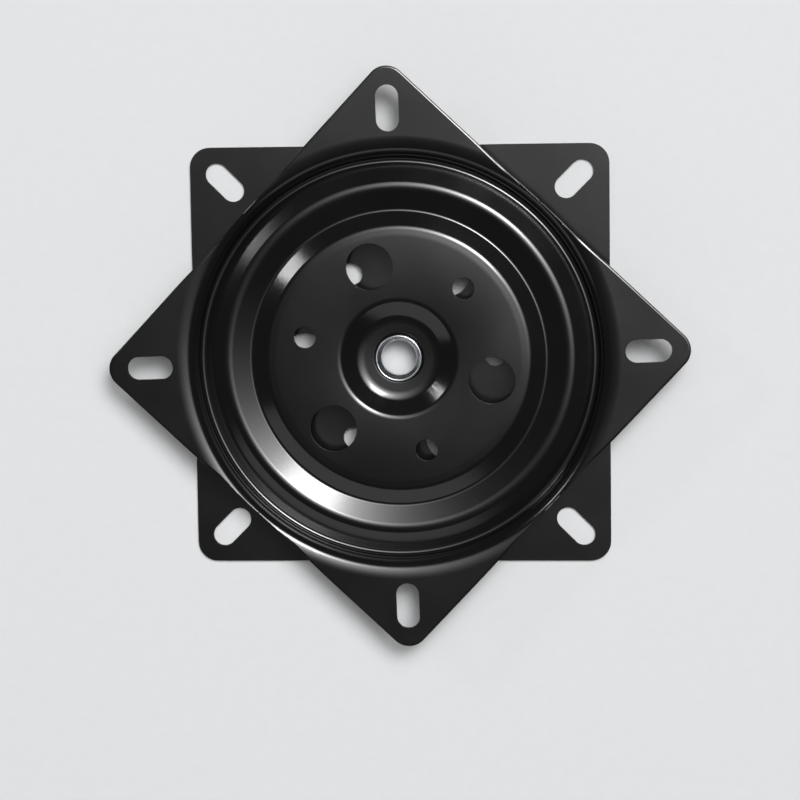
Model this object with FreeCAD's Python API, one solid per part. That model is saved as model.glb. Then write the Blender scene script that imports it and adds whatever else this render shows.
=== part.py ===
import FreeCAD, Part
import math
import os

# Lazy susan bearing: two square plates pressed from sheet steel, facing each other across a
# ring of caged balls and held together by a hollow rivet. The base plate lies on z = 0, the
# middle plane between the plates is half way up, and +X and +Y run through the slots of the
# top plate. All sizes are in millimetres and all angles in degrees.

# Whole bearing
plate_side = 152.4
sheet = 1.5
overall_height = 18.4
rest_turn = 43.4

# Outline of a plate
corner_radius = 7.2
side_draw_in = 0.6
draw_in_flat = 24.0
draw_in_run = 24.0

# Mounting slots along the plate's diagonals, each with its centre the same inset from two sides
slot_inset = 12.7
slot_width = 8.3
slot_length = 16.5

# Balls and their cage
ball_diameter = 7.938
ball_count = 30
race_clearance = 0.05
pocket_clearance = 0.2
cage_thickness = 1.6
cage_margin = 1.3

# Rings pressed into a plate, counted inwards from the flange
flange_inset = 1.6
flange_wall_run = 2.3
flange_rise_run = 3.0
flange_rise_slope = 14.0
outer_race_run = 10.53
inner_race_run = 8.32
outer_race_slope = 25.3
inner_race_slope = 21.5
disc_wall_run = 6.45
disc_rim_run = 2.5
disc_rim_slope = 5.0
disc_height = 6.3

# Bend radii of the sheet's middle line
flange_rise_bend = 13.0
flange_bend = 2.0
outer_valley_bend = 1.8
crest_bend = 2.4
inner_valley_bend = 1.6
disc_bend = 4.0
disc_rim_bend = 25.0

# Centre well of a plate
well_gap = 0.6
well_bowl_radius = 12.6
well_crease_radius = 15.9
well_floor_slope = 3.0
well_bowl_slope = 18.0
well_wall_slope = 30.7
well_bowl_bend = 20.0
well_crease_bend = 1.2
well_rim_bend = 3.5
dimple_radius = 9.0
dimple_slope = 20.0

# Holes through the disc
hole_circle_inset = 12.35
small_hole_diameter = 8.0
large_hole_diameter = 17.0
holes_of_each_size = 3
punched_edge = 0.3

# A punched edge is told from the others by lying this near to the height of its face
edge_stray = 0.15

# Hollow rivet
rivet_bore = 12.7
rivet_wall = 0.9
rivet_fit = 0.0
pivot_clearance = 0.1
rivet_lip_radius = 8.0
rivet_flare = 60.0
rivet_bend = 1.5
rivet_top_play = 0.25


def polar(radius, degrees):
    """A point on a circle about the bearing's axis."""
    angle = math.radians(degrees)
    return FreeCAD.Vector(radius * math.cos(angle), radius * math.sin(angle), 0)


def rise(run, slope):
    """How far a slope climbs over a level run."""
    return run * math.tan(math.radians(slope))


def left_of(way):
    """The way across the sheet, to the left of a way along it."""
    return FreeCAD.Vector(-way.z, 0, way.x)


def middle_line(corners, bends):
    """A sheet's middle line: straights as start, end and way, and bends as centre, way to it and radius."""
    points = [FreeCAD.Vector(r, 0, z) for r, z in corners]
    straights = []
    rounds = []
    start = points[0]
    for before, corner, after, bend in zip(points, points[1:], points[2:], bends):
        into = (corner - before).normalize()
        out = (after - corner).normalize()
        half_turn = into.getAngle(out) / 2
        reach = bend * math.tan(half_turn)
        inward = (out - into).normalize()
        straights.append((start, corner - into * reach, into))
        rounds.append((corner + inward * (bend / math.cos(half_turn)), inward, bend))
        start = corner + out * reach
    straights.append((start, points[-1], (points[-1] - points[-2]).normalize()))
    return straights, rounds


def sheet_face(straights, rounds, offset):
    """The edges of one face of the sheet, offset to the left of its middle line."""
    lines = [(start + left_of(way) * offset, end + left_of(way) * offset) for start, end, way in straights]
    edges = [Part.LineSegment(start, end).toShape() for start, end in lines]
    for k, (centre, inward, bend) in enumerate(rounds):
        hollow = 1 if left_of(straights[k][2]).dot(inward) > 0 else -1
        middle = centre - inward * (bend - hollow * offset)
        edges.append(Part.Arc(lines[k][1], middle, lines[k + 1][0]).toShape())
    return edges


def sheet_end(point, way_out, thickness, rounded):
    """The edge across one end of the sheet."""
    side = left_of(way_out) * (thickness / 2)
    if rounded:
        return Part.Arc(point - side, point + way_out * (thickness / 2), point + side).toShape()
    return Part.LineSegment(point - side, point + side).toShape()


def sheet_section(corners, bends, thickness, round_ends=False):
    """A strip of even sheet in the XZ plane, given by its middle line's corners and bend radii."""
    straights, rounds = middle_line(corners, bends)
    edges = sheet_face(straights, rounds, thickness / 2)
    edges += sheet_face(straights, rounds, -thickness / 2)
    edges.append(sheet_end(straights[0][0], straights[0][2] * -1, thickness, round_ends))
    edges.append(sheet_end(straights[-1][1], straights[-1][2], thickness, round_ends))
    return Part.Face(Part.Wire(Part.__sortEdges__(edges)))


def turned(face):
    """A full turn of a section about the bearing's axis."""
    return face.revolve(FreeCAD.Vector(0, 0, 0), FreeCAD.Vector(0, 0, 1), 360)


# Heights of the sheet's middle line over the middle plane
flange_mid = overall_height / 2 - sheet / 2
disc_mid = disc_height - sheet / 2
well_mid = well_gap / 2 + sheet / 2

# Radii of the sheet's corners, from the flange inwards
flange_corner_r = plate_side / 2 - flange_inset
outer_valley_corner_r = flange_corner_r - flange_wall_run
race_radius = outer_valley_corner_r - outer_race_run
inner_valley_corner_r = race_radius - inner_race_run
disc_corner_r = inner_valley_corner_r - disc_wall_run
disc_rim_r = disc_corner_r - disc_rim_run
hole_circle_radius = disc_corner_r - hole_circle_inset
slot_radius = (plate_side / 2 - slot_inset) * math.sqrt(2)
barrel_radius = rivet_bore / 2 + rivet_wall


def race_height(slope, run):
    """Height of the sheet's middle line over a race, a level run away from the balls' centres."""
    reach = ball_diameter / 2 + race_clearance + sheet / 2
    return reach / math.cos(math.radians(slope)) - rise(run, slope)


def plate_profile():
    """Corners and bends of the upper plate's middle line, from its centre hole out past its corners."""
    centre_z = well_mid - rise(dimple_radius - barrel_radius / 2, well_floor_slope)
    bowl_z = well_mid + rise(well_bowl_radius - dimple_radius, well_floor_slope)
    crease_z = bowl_z + rise(well_crease_radius - well_bowl_radius, well_bowl_slope)
    wall_run = (disc_mid - crease_z) / rise(1, well_wall_slope)
    spread = race_height(outer_race_slope, 0) - race_height(inner_race_slope, 0)
    crest_shift = spread / (rise(1, outer_race_slope) + rise(1, inner_race_slope))
    corners = [
        (barrel_radius / 2, centre_z),
        (well_bowl_radius, bowl_z),
        (well_crease_radius, crease_z),
        (well_crease_radius + wall_run, disc_mid),
        (disc_rim_r, disc_mid),
        (disc_corner_r, disc_mid - rise(disc_rim_run, disc_rim_slope)),
        (inner_valley_corner_r, race_height(inner_race_slope, inner_race_run)),
        (race_radius + crest_shift, race_height(outer_race_slope, crest_shift)),
        (outer_valley_corner_r, race_height(outer_race_slope, outer_race_run)),
        (flange_corner_r, flange_mid - rise(flange_rise_run, flange_rise_slope)),
        (flange_corner_r + flange_rise_run, flange_mid),
        (plate_side, flange_mid),
    ]
    bends = [
        well_bowl_bend,
        well_crease_bend,
        well_rim_bend,
        disc_rim_bend,
        disc_bend,
        inner_valley_bend,
        crest_bend,
        outer_valley_bend,
        flange_bend,
        flange_rise_bend,
    ]
    return corners, bends


def side_curve(half):
    """One side of a plate seen from above, from left to right along +Y, drawn in about its middle."""
    straight = half - corner_radius
    flat = draw_in_flat / 2
    ease = flat + draw_in_run
    bend = (draw_in_run ** 2 + side_draw_in ** 2) / (4 * side_draw_in)
    quarter = draw_in_run / 4
    shallow = bend - math.sqrt(bend ** 2 - quarter ** 2)
    low = half - side_draw_in
    knee = (flat + ease) / 2
    middle = half - side_draw_in / 2
    places = [
        (-straight, half),
        (-ease, half),
        (-(ease - quarter), half - shallow),
        (-knee, middle),
        (-(flat + quarter), low + shallow),
        (-flat, low),
    ]
    places += [(-x, y) for x, y in reversed(places)]
    points = [FreeCAD.Vector(x, y, 0) for x, y in places]
    edges = [Part.LineSegment(points[0], points[1]).toShape()]
    edges.append(Part.Arc(points[1], points[2], points[3]).toShape())
    edges.append(Part.Arc(points[3], points[4], points[5]).toShape())
    edges.append(Part.LineSegment(points[5], points[6]).toShape())
    edges.append(Part.Arc(points[6], points[7], points[8]).toShape())
    edges.append(Part.Arc(points[8], points[9], points[10]).toShape())
    edges.append(Part.LineSegment(points[10], points[11]).toShape())
    return edges


def plate_outline():
    """The square outline of a plate, with rounded corners and sides that the deep drawing pulled in."""
    half = plate_side / 2
    inner = half - corner_radius
    edges = []
    for quarter in range(4):
        side = side_curve(half)
        start = FreeCAD.Vector(inner, half, 0)
        middle = FreeCAD.Vector(inner, inner, 0) + polar(corner_radius, 45)
        end = FreeCAD.Vector(half, inner, 0)
        side.append(Part.Arc(start, middle, end).toShape())
        for edge in side:
            edge.rotate(FreeCAD.Vector(0, 0, 0), FreeCAD.Vector(0, 0, 1), -90 * quarter)
            edges.append(edge)
    return Part.Face(Part.Wire(Part.__sortEdges__(edges)))


def slot_cutter(degrees):
    """A round-ended cutter for one mounting slot, its long way along the plate's diagonal."""
    radius = slot_width / 2
    reach = (slot_length - slot_width) / 2
    depth = overall_height
    block = Part.makeBox(2 * reach, slot_width, depth, FreeCAD.Vector(-reach, -radius, 0))
    ends = [Part.makeCylinder(radius, depth, FreeCAD.Vector(x, 0, 0)) for x in (-reach, reach)]
    cutter = block.fuse(ends).removeSplitter()
    cutter.translate(FreeCAD.Vector(slot_radius, 0, 0))
    cutter.rotate(FreeCAD.Vector(0, 0, 0), FreeCAD.Vector(0, 0, 1), degrees)
    return cutter


def disc_hole_cutters():
    """Cutters for the disc's holes, small ones on every second place from the plate's side."""
    cutters = []
    step = 360 / holes_of_each_size
    for k in range(holes_of_each_size):
        for diameter, start in ((small_hole_diameter, 0), (large_hole_diameter, step / 2)):
            place = polar(hole_circle_radius, start + k * step)
            cutters.append(Part.makeCylinder(diameter / 2, overall_height, place))
    return cutters


def dimple_cutter():
    """The shallow cone that the rivet's lip pressed around a plate's centre hole."""
    top = well_mid + sheet / 2
    depth = rise(dimple_radius, dimple_slope)
    return Part.makeCone(0, dimple_radius, depth, FreeCAD.Vector(0, 0, top - depth))


def round_punched_edges(plate):
    """The rolled edge that the punch leaves on the visible side of the slots and the disc's holes."""
    edges = []
    for edge in plate.Edges:
        box = edge.BoundBox
        level = box.ZMax - box.ZMin < edge_stray
        on_face = min(abs(box.ZMax - flange_mid - sheet / 2), abs(box.ZMax - disc_height)) < edge_stray
        short = box.DiagonalLength < slot_length + slot_width
        outside_well = math.hypot(box.Center.x, box.Center.y) > dimple_radius
        inside_rim = max(abs(box.Center.x), abs(box.Center.y)) < plate_side / 2 - 2 * sheet
        if level and on_face and short and outside_well and inside_rim:
            edges.append(edge)
    return plate.makeFillet(punched_edge, edges)


def pressed_plate(hole_radius):
    """The upper plate as pressed: rings, outline, slots, disc holes and centre hole."""
    corners, bends = plate_profile()
    blank = turned(sheet_section(corners, bends, sheet))
    prism = plate_outline().extrude(FreeCAD.Vector(0, 0, overall_height))
    plate = blank.common(prism)
    cutters = [slot_cutter(45 + 90 * k) for k in range(4)]
    cutters += disc_hole_cutters()
    cutters.append(Part.makeCylinder(hole_radius, overall_height))
    cutters.append(dimple_cutter())
    for cutter in cutters:
        plate = plate.cut(cutter)
    return round_punched_edges(plate)


def top_plate():
    """The upper plate, which turns on the rivet, with its slots on the X and Y axes."""
    plate = pressed_plate(barrel_radius + pivot_clearance)
    plate.rotate(FreeCAD.Vector(0, 0, 0), FreeCAD.Vector(0, 0, 1), 45)
    plate.translate(FreeCAD.Vector(0, 0, overall_height / 2))
    return plate


def base_plate():
    """The lower plate, the same pressing turned over and tight on the rivet."""
    plate = pressed_plate(barrel_radius + rivet_fit)
    plate.rotate(FreeCAD.Vector(0, 0, 0), FreeCAD.Vector(1, 0, 0), 180)
    plate.rotate(FreeCAD.Vector(0, 0, 0), FreeCAD.Vector(0, 0, 1), rest_turn - 45)
    plate.translate(FreeCAD.Vector(0, 0, overall_height / 2))
    return plate


def centre_rivet():
    """The hollow rivet, flared over the centre hole of each plate."""
    middle_r = rivet_bore / 2 + rivet_wall / 2
    land = well_mid + sheet / 2 - rise(dimple_radius - barrel_radius, dimple_slope)
    turn = math.radians(90 - rivet_flare)
    reach = rivet_bend * math.tan(turn / 2)
    flare_rise = rise(rivet_lip_radius - middle_r, rivet_flare)
    upper = land + rivet_top_play + reach
    lower = -(land + reach)
    corners = [
        (rivet_lip_radius, lower - flare_rise),
        (middle_r, lower),
        (middle_r, upper),
        (rivet_lip_radius, upper + flare_rise),
    ]
    rivet = turned(sheet_section(corners, [rivet_bend, rivet_bend], rivet_wall, round_ends=True))
    rivet.translate(FreeCAD.Vector(0, 0, overall_height / 2))
    return rivet


def ball(index):
    """One steel ball of the ring, in its pocket."""
    place = polar(race_radius, index * 360 / ball_count)
    place.z = overall_height / 2
    return Part.makeSphere(ball_diameter / 2, place)


def ball_cage():
    """The flat ring that keeps the balls evenly apart, with one round pocket for each."""
    pocket_radius = ball_diameter / 2 + pocket_clearance
    inner = race_radius - pocket_radius - cage_margin
    outer = race_radius + pocket_radius + cage_margin
    bottom = FreeCAD.Vector(0, 0, overall_height / 2 - cage_thickness / 2)
    ring = Part.makeCylinder(outer, cage_thickness, bottom)
    ring = ring.cut(Part.makeCylinder(inner, cage_thickness, bottom))
    for index in range(ball_count):
        place = polar(race_radius, index * 360 / ball_count) + bottom
        ring = ring.cut(Part.makeCylinder(pocket_radius, cage_thickness, place))
    return ring


pieces = {
    "top_plate": top_plate(),
    "base_plate": base_plate(),
    "centre_rivet": centre_rivet(),
    "ball_cage": ball_cage(),
}
for number in range(ball_count):
    pieces[f"ball_{number + 1:02d}"] = ball(number)

os.makedirs("parts", exist_ok=True)
for name, shape in pieces.items():
    shape.exportStep(f"parts/{name}.step")
    box = shape.BoundBox
    facts = (len(shape.Solids), shape.isValid(), round(shape.Volume, 1))
    print(name, *facts, round(box.ZMin, 2), round(box.ZMax, 2))
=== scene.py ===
import math

import bmesh
import bpy
import numpy as np
from mathutils import Matrix, Vector


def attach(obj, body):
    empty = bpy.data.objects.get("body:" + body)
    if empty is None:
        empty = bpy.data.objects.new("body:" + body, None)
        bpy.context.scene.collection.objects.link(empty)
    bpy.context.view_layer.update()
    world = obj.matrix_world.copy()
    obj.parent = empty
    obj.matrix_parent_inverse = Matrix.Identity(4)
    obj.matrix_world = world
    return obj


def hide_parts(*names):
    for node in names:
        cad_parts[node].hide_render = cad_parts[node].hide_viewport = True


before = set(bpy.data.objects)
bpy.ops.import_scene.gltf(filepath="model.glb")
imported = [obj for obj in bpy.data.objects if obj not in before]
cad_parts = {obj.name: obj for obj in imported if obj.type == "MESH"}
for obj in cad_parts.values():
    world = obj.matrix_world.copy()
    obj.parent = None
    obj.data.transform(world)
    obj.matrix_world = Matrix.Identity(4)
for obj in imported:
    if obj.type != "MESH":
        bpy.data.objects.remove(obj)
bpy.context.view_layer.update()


# The two plates
# Each is a square of 1.5 mm sheet steel, drawn into rings that guide the balls, punched with
# slots and holes, then painted black. The base plate is turned over, with a sharper flange bend.
MM = 0.001
mid_plane = 9.2
sheet = 1.5

plate_half = 76.2
corner_radius = 7.2
side_draw_in = 0.6
draw_in_flat = 12.0
draw_in_run = 24.0
side_steps = 69
corner_step = 10

# Corners of the sheet's middle line, as radius and height over the plane between the plates,
# from the centre hole out to the valley, and the bend radius at each corner after the first
section_corners = [
    (7.35, 0.964),
    (14.0, 1.312),
    (15.9, 2.15),
    (21.3, 5.37),
    (33.0, 5.74),
    (44.5, 5.34),
    (47.2, 5.104),
    (53.45, 1.848),
    (61.942, 5.194),
    (72.5, 0.202),
]
section_bends = [10.0, 1.2, 3.5, 315.0, 25.0, 4.0, 2.4, 4.2, 2.3]

# The corners and bends that follow: the top plate's rise to its flange eases off in a wide bend,
# and the base plate's ends in a sharp one. Both run on past the plate's own corners.
flange_height = mid_plane - sheet / 2
flange_end = 110.0
soft_flange = [(74.4, 7.56), (78.6, flange_height), (flange_end, flange_height)], [4.2, 15.0]
sharp_flange = [(74.6, flange_height), (flange_end, flange_height)], [1.2]
bend_step = math.radians(3)

# The dimple that the rivet's lip pressed round the centre hole
dimple_radius = 9.0
dimple_slope = math.tan(math.radians(20))
dimple_blend = 0.4
dimple_steps = 7

# Past the wall's foot the rings of the mesh draw together where a side comes near. The last few
# follow the side, and roll the outer face's edge down where it lies out on the flange.
wall_foot = 73.0
flange_start = 80.4
roll_depth = 0.25
roll_steps = (1.2, 0.9, 0.65, 0.45, 0.0)
roll_free = 76.2
roll_full = 78.4

slot_circle = 89.803
slot_length = 16.5
slot_width = 8.3
hole_circle = 34.65
small_hole = 4.0
large_hole = 8.5
punch_depth = 20.0
slot_end_radius = 0.4999
slot_end_steps = 14
drill_sides = 72

# The punched mesh: points that fall together, faces that lie flat, edges that get rounded, and
# how near the pressed face a point counts as on it
merged = 0.02
flat_angle = 0.05
sharp_angle = 35.0
punched_edge = 0.3
edge_segments = 3
on_face_within = 0.03

top_turn = 45.0
base_turn = -1.6


def face_rows(flange, offset):
    """Radius, height and slope along one face of the sheet, offset from its middle line."""
    rows = []
    corners = section_corners + flange[0]
    bends = section_bends + flange[1]
    for before, corner, after, bend in zip(corners, corners[1:], corners[2:], bends):
        into = math.atan2(corner[1] - before[1], corner[0] - before[0])
        out = math.atan2(after[1] - corner[1], after[0] - corner[0])
        radius = math.copysign(bend, out - into)
        reach = bend * math.tan(abs(out - into) / 2)
        centre_r = corner[0] - reach * math.cos(into) - radius * math.sin(into)
        centre_z = corner[1] - reach * math.sin(into) + radius * math.cos(into)
        if not rows:
            first = before[0] - offset * math.sin(into), before[1] + offset * math.cos(into)
            rows.append((*first, into))
        steps = max(2, math.ceil(abs(out - into) / bend_step))
        for slope in np.linspace(into, out, steps + 1):
            arm = radius - offset
            rows.append((centre_r + arm * math.sin(slope), centre_z - arm * math.cos(slope), slope))
    last = corners[-1]
    rows.append((last[0], last[1] + offset, 0.0))
    return np.array(rows)


def press_dimple(rows):
    """The outer face with the shallow cone that the rivet's lip pressed around the centre hole."""
    blend = np.linspace(dimple_radius - dimple_blend, dimple_radius + dimple_blend, dimple_steps)
    radii = np.concatenate([[rows[0, 0]], blend])
    depth = np.clip(dimple_radius - radii + dimple_blend, 0, None)
    straight = np.where(depth > 2 * dimple_blend, depth - dimple_blend, np.inf)
    soft = np.minimum(depth ** 2 / (4 * dimple_blend), straight)
    floor_slope = math.tan(rows[0, 2])
    height = np.interp(radii, rows[:, 0], rows[:, 1]) - soft * (dimple_slope - floor_slope)
    steep = floor_slope + np.clip(depth / (2 * dimple_blend), 0, 1) * (dimple_slope - floor_slope)
    return np.concatenate([np.column_stack([radii, height, np.arctan(steep)]), rows[1:]])


def plate_outline():
    """The plate's edge from above, counter-clockwise, each side drawn in about its middle."""
    inner = plate_half - corner_radius
    ease_bend = (draw_in_run ** 2 + side_draw_in ** 2) / (4 * side_draw_in)
    side = []
    for y in plate_half * np.tan(np.linspace(-1, 1, side_steps) * math.atan(inner / plate_half)):
        along = min(max((draw_in_flat + draw_in_run - abs(y)) / draw_in_run, 0), 1)
        sag = ease_bend - math.sqrt(ease_bend ** 2 - (draw_in_run * min(along, 1 - along)) ** 2)
        side.append((plate_half - (sag if along < 0.5 else side_draw_in - sag), y))
    for degrees in range(corner_step, 90, corner_step):
        angle = math.radians(degrees)
        side.append((inner + corner_radius * math.cos(angle),
                     inner + corner_radius * math.sin(angle)))
    side = np.array(side)
    quarters = [side, side[:, ::-1] * (-1, 1), -side, side[:, ::-1] * (1, -1)]
    return np.concatenate(quarters)


def height_at(rows, radius):
    return np.interp(radius, rows[:, 0], rows[:, 1])


def pressed_sheet(outer_face, inner_face):
    """The pressing before it is punched, as a closed mesh of rings about the bearing's axis."""
    edge = plate_outline()
    reach = np.hypot(edge[:, 0], edge[:, 1])
    way = edge / reach[:, None]
    tilt = np.interp(reach, outer_face[:, 0], outer_face[:, 2])
    deepest = roll_depth * np.clip((reach - roll_free) / (roll_full - roll_free), 0, 1)
    points = []
    counts = []
    square_cut = reach + sheet * np.sin(tilt)
    for rows, end, rolled in ((outer_face, reach, 1), (inner_face, square_cut, 0)):
        squeeze = np.clip((end - roll_steps[0] - wall_foot) / (flange_start - wall_foot), 0, 1)
        radii = rows[rows[:, 0] < flange_start, 0]
        rings = [np.where(r > wall_foot, wall_foot + (r - wall_foot) * squeeze, r) for r in radii]
        rings += [end - away for away in roll_steps]
        for ring in rings:
            drop = deepest * rolled * np.clip(1 - (end - ring) / roll_steps[0], 0, 1) ** 2
            points.append(np.column_stack([way * ring[:, None], height_at(rows, ring) - drop]))
        counts.append(len(rings))
    around = len(edge)
    index = np.arange(sum(counts) * around).reshape(-1, around)
    ahead = np.roll(index, -1, axis=1)
    faces = []
    for k in range(len(index) - 1):
        if k == counts[0] - 1:
            continue
        ring = [index[k], index[k + 1], ahead[k + 1], ahead[k]]
        faces.append(np.column_stack(ring if k < counts[0] else ring[::-1]))
    rim, foot = counts[0] - 1, len(index) - 1
    faces.append(np.column_stack([index[rim], index[foot], ahead[foot], ahead[rim]]))
    faces.append(np.column_stack([index[0], ahead[0], ahead[counts[0]], index[counts[0]]]))
    mesh = bpy.data.meshes.new("pressed_sheet")
    mesh.from_pydata(np.concatenate(points) * MM, [], np.concatenate(faces).tolist())
    mesh.validate()
    return mesh


def node(tree, kind, settings=None, inputs=None):
    """Adds a node with its settings, and gives each input a value or another node's output."""
    made = tree.nodes.new(kind)
    for name, value in (settings or {}).items():
        setattr(made, name, value)
    for name, value in (inputs or {}).items():
        if isinstance(value, bpy.types.NodeSocket):
            tree.links.new(value, made.inputs[name])
        else:
            made.inputs[name].default_value = value
    return made


def punch_tree(paint):
    """Geometry nodes that punch the slots on the diagonals and the disc's two sets of holes."""
    tree = bpy.data.node_groups.new("punched slots and holes", "GeometryNodeTree")
    tree.interface.new_socket("Plate", in_out="INPUT", socket_type="NodeSocketGeometry")
    for name in ("Slot circle", "Slot length", "Slot width",
                 "Hole circle", "Small radius", "Large radius", "Depth"):
        tree.interface.new_socket(name, in_out="INPUT", socket_type="NodeSocketFloat")
    for name in ("Slots", "Holes of a size"):
        tree.interface.new_socket(name, in_out="INPUT", socket_type="NodeSocketInt")
    tree.interface.new_socket("Punched plate", in_out="OUTPUT", socket_type="NodeSocketGeometry")
    given = tree.nodes.new("NodeGroupInput").outputs
    line_end = node(tree, "ShaderNodeCombineXYZ", None, {"Z": given["Depth"]})
    line = node(tree, "GeometryNodeCurvePrimitiveLine", None, {"End": line_end.outputs[0]})
    box = node(tree, "GeometryNodeCurvePrimitiveQuadrilateral", None,
               {"Width": given["Slot length"], "Height": given["Slot width"]})
    end_radius = node(tree, "ShaderNodeMath", {"operation": "MULTIPLY"},
                      {0: given["Slot width"], 1: slot_end_radius})
    stadium = node(tree, "GeometryNodeFilletCurve", {"mode": "POLY"},
                   {"Curve": box.outputs[0], "Count": slot_end_steps,
                    "Radius": end_radius.outputs[0]})
    slot = node(tree, "GeometryNodeCurveToMesh", None,
                {"Curve": line.outputs[0], "Profile Curve": stadium.outputs[0], "Fill Caps": True})
    half_depth = node(tree, "ShaderNodeMath", {"operation": "MULTIPLY"},
                      {0: given["Depth"], 1: 0.5})
    lifted = node(tree, "ShaderNodeCombineXYZ", None, {"Z": half_depth.outputs[0]})
    cutters = []
    for count, circle, radius, start in (
        ("Slots", "Slot circle", None, 45),
        ("Holes of a size", "Hole circle", "Small radius", 0),
        ("Holes of a size", "Hole circle", "Large radius", 60),
    ):
        places = node(tree, "GeometryNodeMeshCircle", None,
                      {"Vertices": given[count], "Radius": given[circle]})
        if radius:
            drill = node(tree, "GeometryNodeMeshCylinder", None,
                         {"Vertices": drill_sides, "Radius": given[radius],
                          "Depth": given["Depth"]})
            raised = node(tree, "GeometryNodeTransform", None,
                          {"Geometry": drill.outputs[0], "Translation": lifted.outputs[0]})
            cutter = raised.outputs[0]
        else:
            cutter = slot.outputs[0]
        number = node(tree, "GeometryNodeInputIndex")
        part = node(tree, "ShaderNodeMath", {"operation": "DIVIDE"}, {0: math.tau, 1: given[count]})
        turn = node(tree, "ShaderNodeMath", {"operation": "MULTIPLY"},
                    {0: number.outputs[0], 1: part.outputs[0]})
        turned = node(tree, "ShaderNodeCombineXYZ", None, {"Z": turn.outputs[0]})
        copies = node(tree, "GeometryNodeInstanceOnPoints", None,
                      {"Points": places.outputs[0], "Instance": cutter,
                       "Rotation": turned.outputs[0]})
        ring = node(tree, "GeometryNodeTransform", None,
                    {"Geometry": copies.outputs[0], "Rotation": (0, 0, math.radians(start))})
        cutters.append(ring)
    punched = node(tree, "GeometryNodeMeshBoolean", {"operation": "DIFFERENCE", "solver": "EXACT"},
                   {"Mesh 1": given["Plate"]})
    for cutter in cutters:
        tree.links.new(cutter.outputs[0], punched.inputs["Mesh 2"])
    real = node(tree, "GeometryNodeRealizeInstances", None, {0: punched.outputs[0]})
    painted = node(tree, "GeometryNodeSetMaterial", None,
                   {"Geometry": real.outputs[0], "Material": paint})
    node(tree, "NodeGroupOutput", None, {0: painted.outputs[0]})
    return tree


def settled(piece):
    """The piece's mesh with its modifiers worked in, and the modifiers taken off."""
    graph = bpy.context.evaluated_depsgraph_get()
    mesh = bpy.data.meshes.new_from_object(piece.evaluated_get(graph))
    piece.modifiers.clear()
    piece.data = mesh
    return mesh


def even_normals(mesh, outer_face, inner_face):
    """Gives each point on a pressed face the direction square to the sheet there."""
    count = len(mesh.vertices)
    points = np.empty(count * 3, np.float32)
    mesh.vertices.foreach_get("co", points)
    points = points.reshape(-1, 3) / MM
    normals = np.empty(count * 3, np.float32)
    mesh.vertices.foreach_get("normal", normals)
    normals = normals.reshape(-1, 3).copy()
    radius = np.hypot(points[:, 0], points[:, 1])
    for rows, up in ((outer_face, 1), (inner_face, -1)):
        slope = np.interp(radius, rows[:, 0], rows[:, 2])
        off_face = np.abs(height_at(rows, radius) - points[:, 2]) * np.cos(slope)
        on_face = off_face < on_face_within
        lean = -np.sin(slope) / np.maximum(radius, 1e-6)
        square = np.column_stack([points[:, 0] * lean, points[:, 1] * lean, np.cos(slope)]) * up
        normals[on_face] = square[on_face]
    mesh.shade_smooth()
    mesh.normals_split_custom_set_from_vertices(normals.tolist())


def srgb(code):
    """An sRGB hex colour as linear red, green, blue and a full alpha."""
    parts = [int(code[k:k + 2], 16) / 255 for k in (0, 2, 4)]
    linear = [p / 12.92 if p <= 0.04045 else ((p + 0.055) / 1.055) ** 2.4 for p in parts]
    return linear + [1.0]


def new_material(name):
    """A material, and its node tree with nothing in it yet."""
    made = bpy.data.materials.new(name)
    made.use_nodes = True
    made.node_tree.nodes.clear()
    return made, made.node_tree


# Black stoving enamel on steel: deep and smooth, with a faint orange peel of about 1.5 mm that
# softens the edges of a reflection, and a slightly duller cloud here and there.
cloud_size = 22.0
peel_size, peel_height = 1.5, 0.004
dust_size, dust_height = 0.4, 0.001
paint, tree = new_material("black stoving enamel")
place = node(tree, "ShaderNodeTexCoord").outputs["Object"]
cloud = node(tree, "ShaderNodeTexNoise", None,
             {"Vector": place, "Scale": 1 / (cloud_size * MM), "Detail": 3.0})
peel = node(tree, "ShaderNodeTexNoise", None,
            {"Vector": place, "Scale": 1 / (peel_size * MM), "Detail": 2.0})
dust = node(tree, "ShaderNodeTexNoise", None,
            {"Vector": place, "Scale": 1 / (dust_size * MM), "Detail": 2.0})
gloss = node(tree, "ShaderNodeMapRange", None,
             {"Value": cloud.outputs[0], "From Min": 0.3, "From Max": 0.7,
              "To Min": 0.13, "To Max": 0.19})
shade = node(tree, "ShaderNodeMix", {"data_type": "RGBA"},
             {"Factor": cloud.outputs[0], 6: srgb("0B0B0C"), 7: srgb("0F0F10")})
ripple = node(tree, "ShaderNodeBump", None,
              {"Height": peel.outputs[0], "Strength": 1.0, "Distance": peel_height * MM})
grain = node(tree, "ShaderNodeBump", None,
             {"Height": dust.outputs[0], "Strength": 1.0, "Distance": dust_height * MM,
              "Normal": ripple.outputs[0]})
enamel = node(tree, "ShaderNodeBsdfPrincipled", None,
              {"Base Color": shade.outputs[2], "Roughness": gloss.outputs[0], "IOR": 1.68,
               "Normal": grain.outputs[0]})
node(tree, "ShaderNodeOutputMaterial", None, {"Surface": enamel.outputs[0]})

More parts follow.
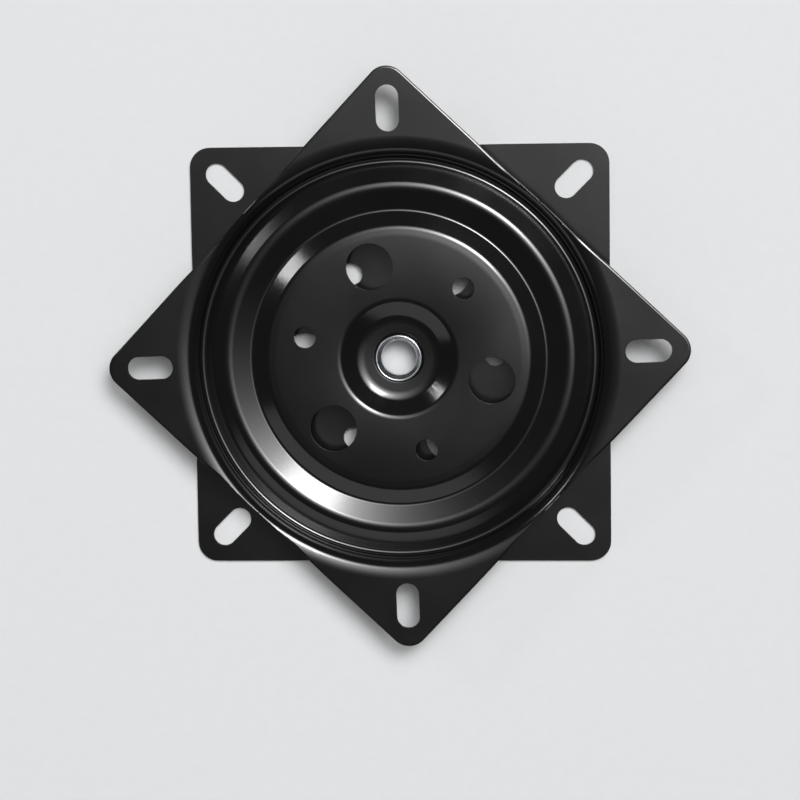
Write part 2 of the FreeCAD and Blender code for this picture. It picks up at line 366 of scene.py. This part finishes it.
punch_sizes = {
    "Slot circle": slot_circle * MM,
    "Slot length": slot_length * MM,
    "Slot width": slot_width * MM,
    "Hole circle": hole_circle * MM,
    "Small radius": small_hole * MM,
    "Large radius": large_hole * MM,
    "Depth": punch_depth * MM,
    "Slots": 4,
    "Holes of a size": 3,
}
punched = punch_tree(paint)
turned_over = Matrix.Rotation(math.pi, 4, "X")
for name, body, cad_node, flange, turn, flip in (
    ("upper_pressing", "top", "top_plate", soft_flange, top_turn, Matrix.Identity(4)),
    ("lower_pressing", "base", "base_plate", sharp_flange, base_turn, turned_over),
):
    outer_face = press_dimple(face_rows(flange, sheet / 2))
    inner_face = face_rows(flange, -sheet / 2)
    plate = bpy.data.objects.new(name, pressed_sheet(outer_face, inner_face))
    bpy.context.scene.collection.objects.link(plate)
    punch = plate.modifiers.new("punch", "NODES")
    punch.node_group = punched
    for item in punched.interface.items_tree:
        if item.name in punch_sizes:
            punch[item.identifier] = punch_sizes[item.name]
    settled(plate)
    work = bmesh.new()
    work.from_mesh(plate.data)
    bmesh.ops.remove_doubles(work, verts=work.verts, dist=merged * MM)
    bmesh.ops.dissolve_limit(work, angle_limit=math.radians(flat_angle),
                             verts=work.verts, edges=work.edges)
    work.to_mesh(plate.data)
    work.free()
    edge_roll = plate.modifiers.new("rolled edges", "BEVEL")
    edge_roll.width = punched_edge * MM
    edge_roll.segments = edge_segments
    edge_roll.limit_method = "ANGLE"
    edge_roll.angle_limit = math.radians(sharp_angle)
    settled(plate)
    even_normals(plate.data, outer_face, inner_face)
    plate.data.name = name
    turn_matrix = Matrix.Rotation(math.radians(turn), 4, "Z")
    plate.data.transform(Matrix.Translation((0, 0, mid_plane * MM)) @ turn_matrix @ flip)
    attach(plate, body)
    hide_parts(cad_node)


# The centre rivet
# A hollow rivet drawn from thin steel tube and plated with bright zinc. Its ends are flared
# over the two plates and hold them together, with the top plate free to turn.
bloom_size, scuff_height = 3.0, 0.01
zinc, tree = new_material("bright zinc plating")
place = node(tree, "ShaderNodeTexCoord").outputs["Object"]
bloom = node(tree, "ShaderNodeTexNoise", None,
             {"Vector": place, "Scale": 1 / (bloom_size * MM), "Detail": 4.0})
gloss = node(tree, "ShaderNodeMapRange", None,
             {"Value": bloom.outputs[0], "From Min": 0.3, "From Max": 0.7,
              "To Min": 0.22, "To Max": 0.38})
shade = node(tree, "ShaderNodeMix", {"data_type": "RGBA"},
             {"Factor": bloom.outputs[0], 6: srgb("B9BCC0"), 7: srgb("D4D6D8")})
scuff = node(tree, "ShaderNodeBump", None,
             {"Height": bloom.outputs[0], "Strength": 1.0, "Distance": scuff_height * MM})
plating = node(tree, "ShaderNodeBsdfPrincipled", None,
               {"Base Color": shade.outputs[2], "Metallic": 1.0, "Roughness": gloss.outputs[0],
                "Normal": scuff.outputs[0]})
node(tree, "ShaderNodeOutputMaterial", None, {"Surface": plating.outputs[0]})

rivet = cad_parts["centre_rivet"]
rivet.data.materials.clear()
rivet.data.materials.append(zinc)


# The ball cage
# A flat ring moulded from natural nylon, with thirty round pockets. It lies between the plates
# and keeps the balls evenly apart.
flow_size, skin_height = 6.0, 0.02
nylon, tree = new_material("natural nylon moulding")
place = node(tree, "ShaderNodeTexCoord").outputs["Object"]
flow = node(tree, "ShaderNodeTexNoise", None,
            {"Vector": place, "Scale": 1 / (flow_size * MM), "Detail": 3.0})
shade = node(tree, "ShaderNodeMix", {"data_type": "RGBA"},
             {"Factor": flow.outputs[0], 6: srgb("DCD8C8"), 7: srgb("E8E5D8")})
skin = node(tree, "ShaderNodeBump", None,
            {"Height": flow.outputs[0], "Strength": 1.0, "Distance": skin_height * MM})
moulding = node(tree, "ShaderNodeBsdfPrincipled", None,
                {"Base Color": shade.outputs[2], "Roughness": 0.45, "IOR": 1.53,
                 "Normal": skin.outputs[0]})
node(tree, "ShaderNodeOutputMaterial", None, {"Surface": moulding.outputs[0]})

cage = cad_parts["ball_cage"]
cage.data.materials.clear()
cage.data.materials.append(nylon)


# The balls
# Thirty 5/16 inch balls of bearing steel, ground and polished, which run between the rings
# of the two plates.
film_size = 2.0
steel, tree = new_material("polished bearing steel")
place = node(tree, "ShaderNodeTexCoord").outputs["Object"]
film = node(tree, "ShaderNodeTexNoise", None,
            {"Vector": place, "Scale": 1 / (film_size * MM), "Detail": 3.0})
gloss = node(tree, "ShaderNodeMapRange", None,
             {"Value": film.outputs[0], "From Min": 0.3, "From Max": 0.7,
              "To Min": 0.06, "To Max": 0.14})
ball_steel = node(tree, "ShaderNodeBsdfPrincipled", None,
                  {"Base Color": srgb("C9CACC"), "Metallic": 1.0, "Roughness": gloss.outputs[0]})
node(tree, "ShaderNodeOutputMaterial", None, {"Surface": ball_steel.outputs[0]})

for name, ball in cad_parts.items():
    if name.startswith("ball_") and name != "ball_cage":
        ball.data.materials.clear()
        ball.data.materials.append(steel)


# The floor
# A plain pale sheet of studio paper, flat under the bearing and far wider than the picture.
fibre_size = 4.0
pale, tree = new_material("pale studio paper")
place = node(tree, "ShaderNodeTexCoord").outputs["Object"]
fibre = node(tree, "ShaderNodeTexNoise", None,
             {"Vector": place, "Scale": 1 / (fibre_size * MM), "Detail": 2.0})
shade = node(tree, "ShaderNodeMix", {"data_type": "RGBA"},
             {"Factor": fibre.outputs[0], 6: srgb("DEDFE0"), 7: srgb("E2E3E4")})
paper = node(tree, "ShaderNodeBsdfPrincipled", None,
             {"Base Color": shade.outputs[2], "Roughness": 0.9, "Specular IOR Level": 0.2})
node(tree, "ShaderNodeOutputMaterial", None, {"Surface": paper.outputs[0]})

floor_half = 4.0
floor_corners = [(x * floor_half, y * floor_half, 0)
                 for x, y in ((-1, -1), (1, -1), (1, 1), (-1, 1))]
floor_mesh = bpy.data.meshes.new("floor")
floor_mesh.from_pydata(floor_corners, [], [(0, 1, 2, 3)])
floor_mesh.materials.append(pale)
floor = bpy.data.objects.new("floor", floor_mesh)
bpy.context.scene.collection.objects.link(floor)


# The light
# A dim, even room with a wide glow high on the upper right and a soft key lamp within it. A long
# dim panel low on the left and a small bright patch are there for their reflections in the rings.
glow_zenith, glow_azimuth = math.radians(25), math.radians(56)
glow_spread = math.radians(8)
glow_level = 26.0
glow_low, glow_full = math.radians(42), math.radians(33)
behind_start, behind_end, behind_level = -0.2, 0.15, 0.3
room_level = 0.05
world = bpy.data.worlds.new("studio")
world.use_nodes = True
bpy.context.scene.world = world
tree = world.node_tree
tree.nodes.clear()
way = node(tree, "ShaderNodeTexCoord").outputs["Generated"]
glow_way = (math.sin(glow_zenith) * math.cos(glow_azimuth),
            math.sin(glow_zenith) * math.sin(glow_azimuth), math.cos(glow_zenith))
facing = node(tree, "ShaderNodeVectorMath", {"operation": "DOT_PRODUCT"}, {0: way, 1: glow_way})
apart = node(tree, "ShaderNodeMath", {"operation": "ARCCOSINE"}, {0: facing.outputs["Value"]})
fade = node(tree, "ShaderNodeMath", {"operation": "DIVIDE"}, {0: apart.outputs[0], 1: -glow_spread})
glow = node(tree, "ShaderNodeMath", {"operation": "EXPONENT"}, {0: fade.outputs[0]})
height = node(tree, "ShaderNodeSeparateXYZ", None, {0: way})
below = node(tree, "ShaderNodeMapRange", {"interpolation_type": "SMOOTHSTEP"},
             {"Value": height.outputs[2], "From Min": math.cos(glow_low),
              "From Max": math.cos(glow_full), "To Min": 0.0, "To Max": glow_level})
side = node(tree, "ShaderNodeVectorMath", {"operation": "DOT_PRODUCT"},
            {0: way, 1: (math.cos(glow_azimuth), math.sin(glow_azimuth), 0)})
behind = node(tree, "ShaderNodeMapRange", {"interpolation_type": "SMOOTHSTEP"},
              {"Value": side.outputs["Value"], "From Min": behind_start, "From Max": behind_end,
               "To Min": behind_level, "To Max": 1.0})
shape = node(tree, "ShaderNodeMath", {"operation": "MULTIPLY"},
             {0: below.outputs[0], 1: behind.outputs[0]})
lit = node(tree, "ShaderNodeMath", {"operation": "MULTIPLY_ADD"},
           {0: glow.outputs[0], 1: shape.outputs[0], 2: room_level})
sky = node(tree, "ShaderNodeBackground", None,
           {"Color": (1.0, 1.0, 1.0, 1.0), "Strength": lit.outputs[0]})
node(tree, "ShaderNodeOutputWorld", None, {"Surface": sky.outputs[0]})


def lamp(name, azimuth, zenith, wide, high, radiance, distance=1.5):
    """A rectangular lamp aimed at the bearing, with its direction and its size in degrees."""
    data = bpy.data.lights.new(name, "AREA")
    data.shape = "RECTANGLE"
    data.size = 2 * distance * math.tan(math.radians(wide) / 2)
    data.size_y = 2 * distance * math.tan(math.radians(high) / 2)
    data.energy = radiance * data.size * data.size_y * math.pi
    made = bpy.data.objects.new(name, data)
    a, z = math.radians(azimuth), math.radians(zenith)
    direction = Vector((math.sin(z) * math.cos(a), math.sin(z) * math.sin(a), math.cos(z)))
    across = Vector((-math.sin(a), math.cos(a), 0))
    up = direction.cross(across)
    facing = Matrix((across, up, direction)).transposed().to_4x4()
    made.matrix_world = Matrix.Translation(direction * distance) @ facing
    bpy.context.scene.collection.objects.link(made)


lamp("key", azimuth=55, zenith=27, wide=14, high=20, radiance=9.5)
lamp("low panel", azimuth=252, zenith=64, wide=88, high=20, radiance=0.5)
lamp("side patch", azimuth=146, zenith=59.5, wide=10, high=3.5, radiance=15.0)

bpy.context.scene.view_settings.view_transform = "Standard"


# The camera
# It looks almost straight down on the bearing, from about 0.94 m, and leans a few degrees off the
# bearing's axis.
camera_shift = Vector((-0.5, -16.646, 937.0))
lean_across, lean_along, roll = math.radians(-4.408), math.radians(6.792), math.radians(1.9)
sensor_width = 36.0
picture_side, focal_length = 800, 2561
camera_data = bpy.data.cameras.new("camera")
camera_data.sensor_width = sensor_width
camera_data.lens = sensor_width * focal_length / picture_side
camera_data.clip_start = 0.05
camera = bpy.data.objects.new("camera", camera_data)
turn = (Matrix.Rotation(lean_across, 3, "Y") @ Matrix.Rotation(lean_along, 3, "X")
        @ Matrix.Rotation(roll, 3, "Z")).transposed()
camera.matrix_world = Matrix.Translation(turn @ camera_shift * MM) @ turn.to_4x4()
bpy.context.scene.collection.objects.link(camera)
bpy.context.scene.camera = camera
